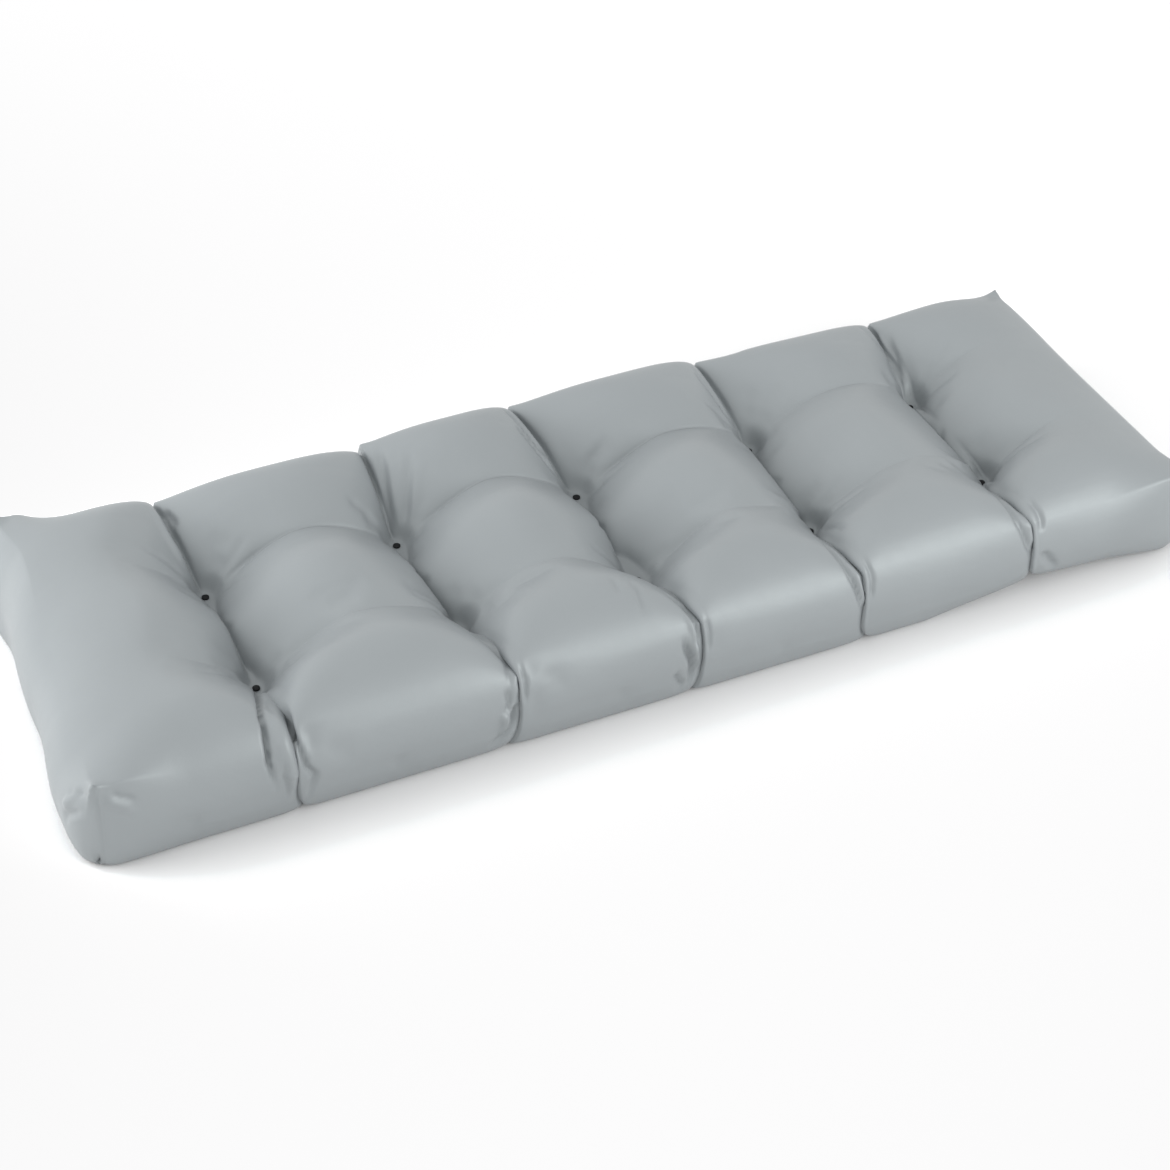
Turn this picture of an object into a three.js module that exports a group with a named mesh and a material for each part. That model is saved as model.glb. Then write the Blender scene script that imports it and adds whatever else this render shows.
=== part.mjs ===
// Tufted bench cushion: one long filled cushion, three rows of six plump cells drawn down by
// ten tufts, with a small round button in each tuft. The cloth rolls over the edges without
// piping, is drawn in where each seam meets an edge and stands up in four boxed corners.
//
// Millimetres. X runs along the bench, Y from the front edge to the rear edge, Z up. The
// cushion rests on Z = 0 and the origin lies under the middle of its outline.
import * as THREE from "three";

const CELLS = 6;
const ROWS = 3;
const CELL_STEPS = 8;
const WALL_STEPS = 7;

// X of each cross seam at the front foot, the front edge, both tufts and the rear edge.
const CROSS_SEAMS = [
  { frontFoot: -500, frontEdge: -516, frontTuft: -505, rearTuft: -503, rearEdge: -530 },
  { frontFoot: -230, frontEdge: -219, frontTuft: -232, rearTuft: -239, rearEdge: -242 },
  { frontFoot: 20, frontEdge: 32, frontTuft: 19, rearTuft: 22, rearEdge: -10 },
  { frontFoot: 288, frontEdge: 264, frontTuft: 275, rearTuft: 284, rearEdge: 266 },
  { frontFoot: 556, frontEdge: 518, frontTuft: 542, rearTuft: 542, rearEdge: 554 },
];
// How far each cross seam bows to the left in the front and middle rows.
const SEAM_BOWS = [
  { front: 0, middle: 0 },
  { front: 0, middle: 8 },
  { front: 5, middle: 6 },
  { front: 14, middle: 9 },
  { front: 18, middle: 12 },
];
// How hard the cells beside each tuft are pulled down toward it.
const TUFT_PULLS = [
  { front: 14, rear: 14 },
  { front: 4, rear: 16 },
  { front: 24, rear: 16 },
  { front: 4, rear: 4 },
  { front: 6, rear: 4 },
];

// Y of the front edge line, the two tuft rows and the rear edge line.
const ROW_LINES = [-247, -91, 99, 237];
// X of the lines along which the top turns down at the two ends.
const END_LINES = { left: -750, right: 738 };

// Height of each cell's crown in the front, middle and rear rows.
const CROWNS = [
  { front: 162, middle: 166, rear: 162 },
  { front: 166, middle: 163, rear: 168 },
  { front: 159, middle: 166, rear: 170 },
  { front: 157, middle: 164, rear: 169 },
  { front: 156, middle: 152, rear: 157 },
  { front: 152, middle: 146, rear: 152 },
];
const ROW_NAMES = ["front", "middle", "rear"];

// How far each cell's long edges swell past the edge lines.
const EDGE_SWELL = [
  { front: 0, rear: 10 },
  { front: 0, rear: 4 },
  { front: 0, rear: 4 },
  { front: 0, rear: 6 },
  { front: 0, rear: 0 },
  { front: 0, rear: -4 },
];
// How far each end swells past its line, beside the front, middle and rear rows.
const END_SWELL = {
  left: { front: 3, middle: -20, rear: -36 },
  right: { front: 12, middle: 12, rear: 16 },
};
// Height at which the top turns down at each end, beside the three rows.
const END_HEIGHT = {
  left: { front: 126, middle: 128, rear: 152 },
  right: { front: 126, middle: 126, rear: 126 },
};
// The four corners: how far each stands out past the end line and the edge line, and its height.
const CORNERS = {
  frontLeft: { endwise: 9, sideways: 3, height: 132 },
  frontRight: { endwise: 20, sideways: 5, height: 130 },
  rearLeft: { endwise: -26, sideways: 14, height: 152 },
  rearRight: { endwise: 18, sideways: -8, height: 124 },
};
// How soon an edge rises to its corner: 1 is at the corner itself.
const CORNER_REACH = 1.4;

// Where the crown of a row lies between its front line (0) and its rear line (1).
const CROWN_PLACE = [0.5, 0.5, 0.58];

// The tufts: the flat seat under each button, and how the cells fall to it.
const TUFT_HEIGHT = 66;
const TUFT_SEAT_RADIUS = 13;
const TUFT_BLEND_RADIUS = 30;
const TUFT_DIP = 1.15;

// The valleys between cells: how high they lie midway between two tufts and how soft they are.
const DOME_SLOPE = 0.5;
const MIDDLE_SEAM_HEIGHT = 92;
const ROW_SADDLE = { front: 142, rear: 135 };
const SADDLE_SHIFT = 0.1;
const SADDLE_DIP = 0.75;
const ROW_SOFTNESS = { front: 0.6, rear: 0.25 };
const CROSS_SOFTNESS = 0.25;
const END_VALLEY_REACH = 170;

// The edges: where the top turns down, and the notch where a seam runs over an edge.
const EDGE_HEIGHT = { front: 118, rear: 130 };
const NOTCH_HEIGHT = { front: 96, rear: 118 };
const SEAM_CLIMB = 0.75;
const SEAM_CREST = { rise: 8, from: 0.6 };
const SEAM_DRAWN_IN = 10;
const NOTCH_SHARPNESS = { left: 4, right: 2 };
const EDGE_ARC = THREE.MathUtils.degToRad(50);
const BOXY_EDGE = { left: 4, right: 3 };

// The walls: how far they swell past the edge lines at their widest height.
const BULGE_HEIGHT = 68;
const WALL_BULGE = { front: 15, rear: 14, end: 33, seam: 8, corner: 6 };
const CORNER_SHARPNESS = 3;
const TUCK_UNDER = 1.3;
const FOOT_CHANNEL = { depth: 8, atTuft: 6, start: 0.55 };
const FOOT_PULL = 0.6;
// How far the foot stands out past the edge lines, against the walls' own swell.
const FOOT_SPREAD = { front: -5, rear: -6, end: 12 };
// The last seam draws the front foot in and up: how far, and over how much of the cell on each side.
const LAST_SEAM_FOOT = { depth: 36, lift: 14, left: 0.6, right: 1 };

const BUTTON_RADIUS = 5;
const BUTTON_HEIGHT = 2.8;
// Rings of a button's face, as shares of its radius and height.
const BUTTON_RINGS = [
  { radius: 1, height: 0 },
  { radius: 1, height: 0.57 },
  { radius: 0.6, height: 0.9 },
];
const BUTTON_SEGMENTS = 12;
const SEAT_GAP = 0.3;

const clothGrey = new THREE.MeshStandardMaterial({ color: 0xa5aeb0, roughness: 0.75, metalness: 0 });
const buttonBlack = new THREE.MeshStandardMaterial({ color: 0x16191b, roughness: 0.5, metalness: 0 });

const mix = THREE.MathUtils.lerp;

function smooth(amount) {
  const t = THREE.MathUtils.clamp(amount, 0, 1);
  return t * t * (3 - 2 * t);
}

// A value from a list read at a fractional place in it.
function along(values, place) {
  const first = Math.min(Math.floor(place), values.length - 2);
  return mix(values[first], values[first + 1], place - first);
}

// The cell a lattice coordinate falls in and how far across it, from -1 to 1.
function within(coordinate, count) {
  const cell = Math.min(Math.floor(coordinate), count - 1);
  return { cell, across: 2 * (coordinate - cell) - 1 };
}

function facesOutside(cell, across, count) {
  return (cell === 0 && across < 0) || (cell === count - 1 && across >= 0);
}

// The rounding of a cell to one side: a full, puffy round down to a seam, part of one to an edge.
function rounding(across, outside) {
  const arc = outside ? EDGE_ARC : Math.PI / 2;
  const place = Math.sin(across * arc) / Math.sin(arc);
  const roundFall = (1 - Math.cos(across * arc)) / (1 - Math.cos(arc));
  return { place, fall: outside ? roundFall : mix(roundFall, place ** 2, DOME_SLOPE) };
}

// Rounds the bottom of a valley by as much of a plain wave as the amount says.
function soften(fall, place, amount) {
  return mix(fall, Math.sin((Math.abs(place) * Math.PI) / 2) ** 2, amount);
}

// 1 in the middle of a cell and 0 at its two seams.
function midway(across) {
  return Math.cos((across * Math.PI) / 2);
}

function seamX(line, row, front) {
  if (line === 0) return END_LINES.left;
  if (line === CELLS) return END_LINES.right;
  const seam = CROSS_SEAMS[line - 1];
  const bows = SEAM_BOWS[line - 1];
  const bow = row < 1 ? bows.front : bows.middle * (row < ROWS - 1);
  const course = along([seam[front], seam.frontTuft, seam.rearTuft, seam.rearEdge], row);
  return course - bow * Math.abs(Math.sin(Math.PI * row));
}

// Where a row coordinate lies in plan: its row, and how far across that row from front to rear.
function rowPlace(row) {
  const { cell, across } = within(row, ROWS);
  const { place } = rounding(across, facesOutside(cell, across, ROWS));
  const crown = CROWN_PLACE[cell];
  return { cell, share: place < 0 ? crown * (1 + place) : mix(crown, 1, place) };
}

// A row coordinate that runs evenly in plan, from 0 at the front edge to 3 at the rear edge.
function planRow(row) {
  const { cell, share } = rowPlace(row);
  return cell + share;
}

// A cell coordinate that runs evenly in plan across each cell.
function planColumn(column) {
  const { cell, across } = within(column, CELLS);
  return cell + (rounding(across, facesOutside(cell, across, CELLS)).place + 1) / 2;
}

// How much of a notch is left at a place across a cell; it is narrower on a cell's left side.
function notchShare(across) {
  return (1 - midway(across)) ** NOTCH_SHARPNESS[across < 0 ? "left" : "right"];
}

// Height of the valley along a cross seam: a saddle between two tufts, a climb to each edge.
function crossSeamHeight(row) {
  const { cell, share } = rowPlace(row);
  if (cell === 1) {
    const saddle = Math.sin(Math.min(share, 1 - share) * Math.PI) ** TUFT_DIP;
    return mix(TUFT_HEIGHT, MIDDLE_SEAM_HEIGHT, saddle);
  }
  const out = cell === 0 ? 1 - share : share;
  const crest = NOTCH_HEIGHT[ROW_NAMES[cell]] + SEAM_CREST.rise;
  const rollOver = Math.max(0, (out - SEAM_CREST.from) / (1 - SEAM_CREST.from)) ** 2;
  return mix(TUFT_HEIGHT, crest, out ** SEAM_CLIMB) - SEAM_CREST.rise * rollOver;
}

// Distance along X from the nearest column of tufts, at a cell coordinate.
function tuftReach(column) {
  const { cell, across } = within(column, CELLS);
  const { place } = rounding(across, facesOutside(cell, across, CELLS));
  const between = 1.5;
  const left = seamX(cell, between, "frontEdge");
  const right = seamX(cell + 1, between, "frontEdge");
  const x = mix(left, right, (place + 1) / 2);
  return Math.min(...CROSS_SEAMS.map((seam) => Math.abs(x - (seam.frontTuft + seam.rearTuft) / 2)));
}

function isEndCell(cell) {
  return cell === 0 || cell === CELLS - 1;
}

// Height of the valley along a tuft row, at a cell coordinate from 0 (left) to 6 (right). In the
// end cells it soon fades into the roll along the end.
function rowSeamHeight(column, line) {
  const { cell, across } = within(column, CELLS);
  const saddle = ROW_SADDLE[line === 1 ? "front" : "rear"];
  if (!isEndCell(cell)) {
    const shifted = across + SADDLE_SHIFT * (1 - across ** 2);
    return mix(TUFT_HEIGHT, saddle, midway(shifted) ** SADDLE_DIP);
  }
  const crown = (CROWNS[cell][ROW_NAMES[line - 1]] + CROWNS[cell][ROW_NAMES[line]]) / 2;
  const outer = facesOutside(cell, across, CELLS);
  const edge = endEdgeHeight(line, cell > 0);
  const rim = outer ? mix(crown, edge, rounding(across, outer).fall) : crown;
  const away = Math.min(tuftReach(column) / END_VALLEY_REACH, 1);
  return mix(TUFT_HEIGHT, rim, Math.sin((Math.sqrt(away) * Math.PI) / 2) ** TUFT_DIP);
}

// How soft the valley along a tuft row is: sharp at the tufts, softer away from them.
function rowSoftness(column, line) {
  const { cell, across } = within(column, CELLS);
  if (isEndCell(cell)) return smooth((2 * tuftReach(column)) / END_VALLEY_REACH);
  return ROW_SOFTNESS[line === 1 ? "front" : "rear"] * midway(across) ** 2;
}

function cornerAt(isRear, isRight) {
  if (isRear) return isRight ? CORNERS.rearRight : CORNERS.rearLeft;
  return isRight ? CORNERS.frontRight : CORNERS.frontLeft;
}

function longEdgeHeight(column, side) {
  const { cell, across } = within(column, CELLS);
  if (facesOutside(cell, across, CELLS)) {
    const corner = cornerAt(side === "rear", across > 0);
    return mix(EDGE_HEIGHT[side], corner.height, smooth(Math.abs(across) * CORNER_REACH));
  }
  return mix(EDGE_HEIGHT[side], NOTCH_HEIGHT[side], notchShare(across));
}

// Reads three values, placed at the middle of each row, between those of the two corners.
function alongEnd(frontCorner, middles, rearCorner, row) {
  const places = [0, 0.5, 1.5, 2.5, 3];
  const values = [frontCorner, middles.front, middles.middle, middles.rear, rearCorner];
  let first = 0;
  while (first < places.length - 2 && row > places[first + 1]) first += 1;
  const share = (row - places[first]) / (places[first + 1] - places[first]);
  return mix(values[first], values[first + 1], smooth(share));
}

function endEdgeHeight(row, isRight) {
  const level = END_HEIGHT[isRight ? "right" : "left"];
  return alongEnd(cornerAt(false, isRight).height, level, cornerAt(true, isRight).height, planRow(row));
}

// How far the long edge lies outside its line at a cell coordinate.
function longEdgeOffset(column, side) {
  const { cell, across } = within(column, CELLS);
  const swell = EDGE_SWELL[cell][side];
  if (facesOutside(cell, across, CELLS)) {
    const { sideways } = cornerAt(side === "rear", across > 0);
    return mix(swell, sideways, smooth(Math.abs(across) * CORNER_REACH));
  }
  return mix(swell, -SEAM_DRAWN_IN, notchShare(across));
}

function endOffset(row, isRight) {
  const swell = END_SWELL[isRight ? "right" : "left"];
  return alongEnd(cornerAt(false, isRight).endwise, swell, cornerAt(true, isRight).endwise, planRow(row));
}

// How much of the last cross seam's pull on the front foot is left at a cell coordinate.
function lastSeamPull(column) {
  const away = column - (CELLS - 1);
  const reach = away < 0 ? LAST_SEAM_FOOT.left : LAST_SEAM_FOOT.right;
  return Math.max(0, 1 - Math.abs(away) / reach);
}

// How far the four edges of the top lie outside their lines beside a lattice point.
function topOffsets(column, row) {
  return {
    front: longEdgeOffset(column, "front"),
    rear: longEdgeOffset(column, "rear"),
    left: endOffset(row, false),
    right: endOffset(row, true),
  };
}

// How far the four edges of the foot lie outside their lines: it follows the top in part.
function footOffsets(column, row) {
  const top = topOffsets(column, row);
  return {
    front: top.front * FOOT_PULL + FOOT_SPREAD.front - LAST_SEAM_FOOT.depth * lastSeamPull(column),
    rear: top.rear * FOOT_PULL + FOOT_SPREAD.rear,
    left: top.left * FOOT_PULL + FOOT_SPREAD.end,
    right: top.right * FOOT_PULL + FOOT_SPREAD.end,
  };
}

// Moves a plan point out or in with the edges; the effect fades out over the outer cells.
function drawOutline(point, column, row, offsets) {
  const evenRow = planRow(row);
  const evenColumn = planColumn(column);
  point.y -= offsets.front * Math.max(1 - evenRow, 0) ** 2;
  point.y += offsets.rear * Math.max(evenRow - ROWS + 1, 0) ** 2;
  point.x -= offsets.left * Math.max(1 - evenColumn, 0) ** 2;
  point.x += offsets.right * Math.max(evenColumn - CELLS + 1, 0) ** 2;
}

function planPoint(column, row, front, offsets) {
  const { cell } = within(column, CELLS);
  const evenRow = planRow(row);
  const left = seamX(cell, evenRow, front);
  const right = seamX(cell + 1, evenRow, front);
  const x = mix(left, right, planColumn(column) - cell);
  const point = new THREE.Vector3(x, along(ROW_LINES, evenRow), 0);
  drawOutline(point, column, row, offsets);
  return point;
}

function nearestTuftDistance(point) {
  let nearest = Infinity;
  for (const seam of CROSS_SEAMS) {
    nearest = Math.min(nearest, Math.hypot(point.x - seam.frontTuft, point.y - ROW_LINES[1]));
    nearest = Math.min(nearest, Math.hypot(point.x - seam.rearTuft, point.y - ROW_LINES[2]));
  }
  return nearest;
}

// The fall from a crown toward the cell's left or right side; cells are squarer along the front
// and rear edges.
function wideFallAt(wide, row) {
  const outside = facesOutside(wide.cell, wide.across, CELLS);
  const { place, fall } = rounding(wide.across, outside);
  if (outside) return fall;
  const towardEdge = Math.max(Math.max(1 - row, 0) ** 3, Math.max(row - ROWS + 1, 0) ** 4);
  const valley = soften(fall, place, CROSS_SOFTNESS);
  return valley ** (1 + BOXY_EDGE[place < 0 ? "left" : "right"] * towardEdge);
}

// The fall from a crown toward the cell's front or rear side.
function deepFallAt(deep, column, line) {
  const outside = facesOutside(deep.cell, deep.across, ROWS);
  const { place, fall } = rounding(deep.across, outside);
  return outside ? fall : soften(fall, place, rowSoftness(column, line));
}

function topPoint(column, row) {
  const wide = within(column, CELLS);
  const deep = within(row, ROWS);
  const wideOutside = facesOutside(wide.cell, wide.across, CELLS);
  const deepOutside = facesOutside(deep.cell, deep.across, ROWS);
  const wideLine = wide.across < 0 ? wide.cell : wide.cell + 1;
  const deepLine = deep.across < 0 ? deep.cell : deep.cell + 1;
  const wideFall = wideFallAt(wide, row);
  const deepFall = deepFallAt(deep, column, deepLine);

  const crown = CROWNS[wide.cell][ROW_NAMES[deep.cell]];
  const wideEdge = wideOutside ? endEdgeHeight(row, wide.across > 0) : crossSeamHeight(row);
  const side = deep.across > 0 ? "rear" : "front";
  const deepEdge = deepOutside ? longEdgeHeight(column, side) : rowSeamHeight(column, deepLine);
  const corner = wideOutside ? endEdgeHeight(deepLine, wide.across > 0) : crossSeamHeight(deepLine);

  const both = wideFall * deepFall;
  const point = planPoint(column, row, "frontEdge", topOffsets(column, row));
  point.z = crown - wideFall * (crown - wideEdge) - deepFall * (crown - deepEdge) + both * (crown - corner);
  const besideTuft = wideLine > 0 && wideLine < CELLS && deepLine > 0 && deepLine < ROWS;
  if (besideTuft) {
    const pull = TUFT_PULLS[wideLine - 1][deepLine === 1 ? "front" : "rear"];
    point.z -= pull * 4 * both * (1 - both);
    const distance = nearestTuftDistance(point);
    const seat = (distance - TUFT_SEAT_RADIUS) / (TUFT_BLEND_RADIUS - TUFT_SEAT_RADIUS);
    point.z = mix(TUFT_HEIGHT, Math.max(point.z, TUFT_HEIGHT), smooth(seat));
  }
  return point;
}

function channelShare(across, outside) {
  if (outside) return 0;
  return Math.max(0, (Math.abs(across) - FOOT_CHANNEL.start) / (1 - FOOT_CHANNEL.start)) ** 2;
}

// The underside: flat under each cell, lifted along the seams and a little more under a tuft.
function footPoint(column, row) {
  const wide = within(column, CELLS);
  const deep = within(row, ROWS);
  const wideShare = channelShare(wide.across, facesOutside(wide.cell, wide.across, CELLS));
  const deepShare = channelShare(deep.across, facesOutside(deep.cell, deep.across, ROWS));
  const point = planPoint(column, row, "frontFoot", footOffsets(column, row));
  const channel = FOOT_CHANNEL.depth * Math.max(wideShare, deepShare);
  const lift = LAST_SEAM_FOOT.lift * lastSeamPull(column) * Math.max(1 - planRow(row), 0) ** 2;
  point.z = channel + FOOT_CHANNEL.atTuft * wideShare * deepShare + lift;
  return point;
}

function wallBulge(column, row) {
  const onLongEdge = row === 0 || row === ROWS;
  const count = onLongEdge ? CELLS : ROWS;
  const { cell, across } = within(onLongEdge ? column : row, count);
  const side = row === 0 ? "front" : "rear";
  const full = WALL_BULGE[onLongEdge ? side : "end"];
  if (facesOutside(cell, across, count)) {
    return mix(full, WALL_BULGE.corner, Math.abs(across) ** CORNER_SHARPNESS);
  }
  if (!onLongEdge) return full;
  return mix(full, WALL_BULGE.seam, notchShare(across));
}

function outwardDirection(column, row) {
  const direction = new THREE.Vector3();
  if (column === 0) direction.x = -1;
  if (column === CELLS) direction.x = 1;
  if (row === 0) direction.y = -1;
  if (row === ROWS) direction.y = 1;
  return direction;
}

// The wall swells out from the edge line, then tucks under to the foot.
function wallPoint(column, row, rise) {
  const top = topPoint(column, row);
  const foot = footPoint(column, row);
  const widest = top.clone().addScaledVector(outwardDirection(column, row), wallBulge(column, row));
  const topArc = Math.PI / 2 - EDGE_ARC;
  if (rise >= 0.5) {
    const angle = (2 * rise - 1) * topArc;
    const inward = (1 - Math.cos(angle)) / (1 - Math.cos(topArc));
    const point = widest.lerp(top, inward);
    point.z = mix(BULGE_HEIGHT, top.z, Math.sin(angle) / Math.sin(topArc));
    return point;
  }
  const angle = ((1 - 2 * rise) * Math.PI) / 2;
  const point = widest.lerp(foot, (1 - Math.cos(angle)) ** TUCK_UNDER);
  point.z = mix(BULGE_HEIGHT, foot.z, Math.sin(angle));
  return point;
}

// The whole cushion is the skin of a lattice of six by three cells, closed on all sides.
function cushionGeometry() {
  const wideSteps = CELLS * CELL_STEPS;
  const deepSteps = ROWS * CELL_STEPS;
  const positions = [];
  const index = [];
  const known = new Map();

  function vertex(a, b, c) {
    const key = `${a} ${b} ${c}`;
    if (!known.has(key)) {
      const column = a / CELL_STEPS;
      const row = b / CELL_STEPS;
      let point = wallPoint(column, row, c / WALL_STEPS);
      if (c === 0) point = footPoint(column, row);
      if (c === WALL_STEPS) point = topPoint(column, row);
      known.set(key, positions.length / 3);
      positions.push(point.x, point.y, point.z);
    }
    return known.get(key);
  }

  function quad(first, second, third, fourth) {
    const corners = [first, second, third, fourth].map((corner) => vertex(...corner));
    index.push(corners[0], corners[1], corners[2], corners[0], corners[2], corners[3]);
  }

  for (let a = 0; a < wideSteps; a += 1) {
    for (let b = 0; b < deepSteps; b += 1) {
      quad([a, b, WALL_STEPS], [a + 1, b, WALL_STEPS], [a + 1, b + 1, WALL_STEPS], [a, b + 1, WALL_STEPS]);
      quad([a, b, 0], [a, b + 1, 0], [a + 1, b + 1, 0], [a + 1, b, 0]);
    }
  }
  for (let c = 0; c < WALL_STEPS; c += 1) {
    for (let a = 0; a < wideSteps; a += 1) {
      quad([a, 0, c], [a + 1, 0, c], [a + 1, 0, c + 1], [a, 0, c + 1]);
      quad([a, deepSteps, c], [a, deepSteps, c + 1], [a + 1, deepSteps, c + 1], [a + 1, deepSteps, c]);
    }
    for (let b = 0; b < deepSteps; b += 1) {
      quad([0, b, c], [0, b, c + 1], [0, b + 1, c + 1], [0, b + 1, c]);
      quad([wideSteps, b, c], [wideSteps, b + 1, c], [wideSteps, b + 1, c + 1], [wideSteps, b, c + 1]);
    }
  }

  const geometry = new THREE.BufferGeometry();
  geometry.setAttribute("position", new THREE.Float32BufferAttribute(positions, 3));
  geometry.setIndex(index);
  geometry.computeVertexNormals();
  return geometry;
}

// A small domed button, turned about its own axis, with its flat back at Z = 0.
function buttonGeometry() {
  const positions = [0, 0, 0];
  for (const ring of BUTTON_RINGS) {
    const radius = BUTTON_RADIUS * ring.radius;
    for (let step = 0; step < BUTTON_SEGMENTS; step += 1) {
      const angle = (step / BUTTON_SEGMENTS) * 2 * Math.PI;
      positions.push(radius * Math.cos(angle), radius * Math.sin(angle), BUTTON_HEIGHT * ring.height);
    }
  }
  positions.push(0, 0, BUTTON_HEIGHT);

  const top = positions.length / 3 - 1;
  const index = [];
  for (let step = 0; step < BUTTON_SEGMENTS; step += 1) {
    const next = (step + 1) % BUTTON_SEGMENTS;
    index.push(0, 1 + next, 1 + step);
    for (let ring = 0; ring < BUTTON_RINGS.length - 1; ring += 1) {
      const low = 1 + ring * BUTTON_SEGMENTS;
      const high = low + BUTTON_SEGMENTS;
      index.push(low + step, low + next, high + next, low + step, high + next, high + step);
    }
    const last = 1 + (BUTTON_RINGS.length - 1) * BUTTON_SEGMENTS;
    index.push(last + step, last + next, top);
  }

  const geometry = new THREE.BufferGeometry();
  geometry.setAttribute("position", new THREE.Float32BufferAttribute(positions, 3));
  geometry.setIndex(index);
  geometry.computeVertexNormals();
  return geometry;
}

function namedMesh(name, geometry, material) {
  const mesh = new THREE.Mesh(geometry, material);
  mesh.name = name;
  return mesh;
}

function tuftButton(name, x, y) {
  const mesh = namedMesh(name, buttonGeometry(), buttonBlack);
  mesh.position.set(x, y, TUFT_HEIGHT + SEAT_GAP);
  return mesh;
}

const cushion = new THREE.Group();
cushion.add(namedMesh("cushion", cushionGeometry(), clothGrey));
CROSS_SEAMS.forEach((seam, place) => {
  cushion.add(tuftButton(`tuft_button_front_${place + 1}`, seam.frontTuft, ROW_LINES[1]));
  cushion.add(tuftButton(`tuft_button_rear_${place + 1}`, seam.rearTuft, ROW_LINES[2]));
});

export default cushion;
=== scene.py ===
"""Tufted bench cushion, dressed: satin grey cloth with its tufts, creases and boxed corners.

Metres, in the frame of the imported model: X along the bench, Y from front to rear, Z up. The
sizes of the cushion itself are in millimetres, as in the part.
"""
import math

import bpy
import numpy as np
from mathutils import Matrix, Vector
from mathutils.kdtree import KDTree


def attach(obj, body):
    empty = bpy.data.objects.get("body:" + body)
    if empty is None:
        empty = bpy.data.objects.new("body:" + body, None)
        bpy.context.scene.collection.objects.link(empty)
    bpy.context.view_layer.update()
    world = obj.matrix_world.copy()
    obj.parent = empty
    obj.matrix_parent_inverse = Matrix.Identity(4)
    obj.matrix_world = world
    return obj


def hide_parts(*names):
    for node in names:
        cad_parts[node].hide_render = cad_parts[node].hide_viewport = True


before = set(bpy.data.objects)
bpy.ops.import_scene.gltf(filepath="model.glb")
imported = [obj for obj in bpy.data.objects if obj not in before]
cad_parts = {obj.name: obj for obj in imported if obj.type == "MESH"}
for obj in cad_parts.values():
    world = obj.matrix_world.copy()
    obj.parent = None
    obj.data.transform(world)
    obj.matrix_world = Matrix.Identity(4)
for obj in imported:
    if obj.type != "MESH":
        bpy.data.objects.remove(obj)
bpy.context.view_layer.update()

MM = 0.001
QUARTER = math.pi / 2
CELLS = 6
ROWS = 3

# X of each cross seam at the front foot, the front edge, both tufts and the rear edge.
SEAM_COLUMNS = ("frontFoot", "frontEdge", "frontTuft", "rearTuft", "rearEdge")
CROSS_SEAMS = [
    dict(zip(SEAM_COLUMNS, row))
    for row in (
        (-500, -516, -505, -503, -522),
        (-238, -226, -232, -239, -234),
        (18, 26, 19, 22, -16),
        (286, 260, 275, 284, 266),
        (556, 518, 542, 542, 544),
    )
]
# How far each cross seam bows to the left in the front and middle rows.
SEAM_BOWS = ((0, 0), (0, 8), (5, 6), (14, 9), (18, 12))
# How hard the cells beside each tuft are pulled down toward it: a row for each seam, front and
# rear tufts.
TUFT_PULLS = np.array([(14, 14), (4, 16), (24, 16), (4, 4), (6, 4)], float)
ROW_LINES = (-247.0, -91.0, 99.0, 237.0)
END_LINES = {"left": -750.0, "right": 738.0}

# Height of each cell's crown: a row for each cell, columns front, middle and rear.
CROWNS = np.array(
    [
        (162, 166, 166),
        (166, 163, 168),
        (159, 166, 170),
        (157, 164, 169),
        (156, 152, 157),
        (152, 146, 152),
    ],
    float,
)
# Where the crowns lie from front to rear across their rows.
CROWN_PLACE = np.array([0.5, 0.5, 0.58])

# How far each cell's long edge swells past the edge line, in the order of the cells.
EDGE_SWELL = {"front": (0, 0, 0, 0, 0, 0), "rear": (10, 4, 4, 6, 0, -4)}
# The ends: swell and height of the edge beside the front, middle and rear rows.
END_SWELL = {"left": (3, -20, -36), "right": (12, 12, 16)}
END_HEIGHT = {"left": (126, 128, 152), "right": (126, 126, 126)}
# Each corner: how far it stands out past the end line and the edge line, and its height.
CORNER_COLUMNS = ("endwise", "sideways", "height")
CORNERS = {
    ("front", "left"): dict(zip(CORNER_COLUMNS, (9, 3, 132))),
    ("front", "right"): dict(zip(CORNER_COLUMNS, (20, 5, 130))),
    ("rear", "left"): dict(zip(CORNER_COLUMNS, (-26, 14, 152))),
    ("rear", "right"): dict(zip(CORNER_COLUMNS, (18, -8, 124))),
}
# How soon an edge has its corner's values: over the end cell's outer half, divided by this.
CORNER_REACH = 1.4

# The tufts: the flat seat under each button, and how the cells fall to it.
TUFT_HEIGHT = 66.0
TUFT_SEAT_RADIUS = 6.0
TUFT_BLEND_RADIUS = 26.0
TUFT_DIP = 1.15

# How far the sides of a cell go from a round arc toward a dome that meets its seams at a slope.
DOME_SLOPE = 0.5
# The valleys between cells: the height of each saddle, and how sharply its two ends fall.
MIDDLE_SEAM_HEIGHT = 78.0
ROW_SADDLE = {"front": 142.0, "rear": 135.0}
SADDLE_DIP = {"left": 1.6, "right": 1.1}
# How soft the valleys along the tuft rows are at a cell's left and right, and the seams across.
ROW_SOFTNESS = {"front": (1.0, 0.35), "rear": (0.6, 0.4)}
CROSS_SOFTNESS = 0.25
# The valleys are softer on their right side, the left side of a cell, in the middle row.
LEFT_SOFTNESS = 0.5
# The row valleys in the end cells: how far they reach, and how soon they are fully soft.
END_VALLEY_REACH = 190.0
END_SOFTNESS_RATE = 1.5

# The edges: where the top of each cell turns down, and the notch where a seam runs over an edge.
EDGE_HEIGHT = {"front": (118,) * CELLS, "rear": (121, 121, 130, 129, 127, 127)}
NOTCH_HEIGHT = {"front": 106.0, "rear": 121.0}
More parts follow.
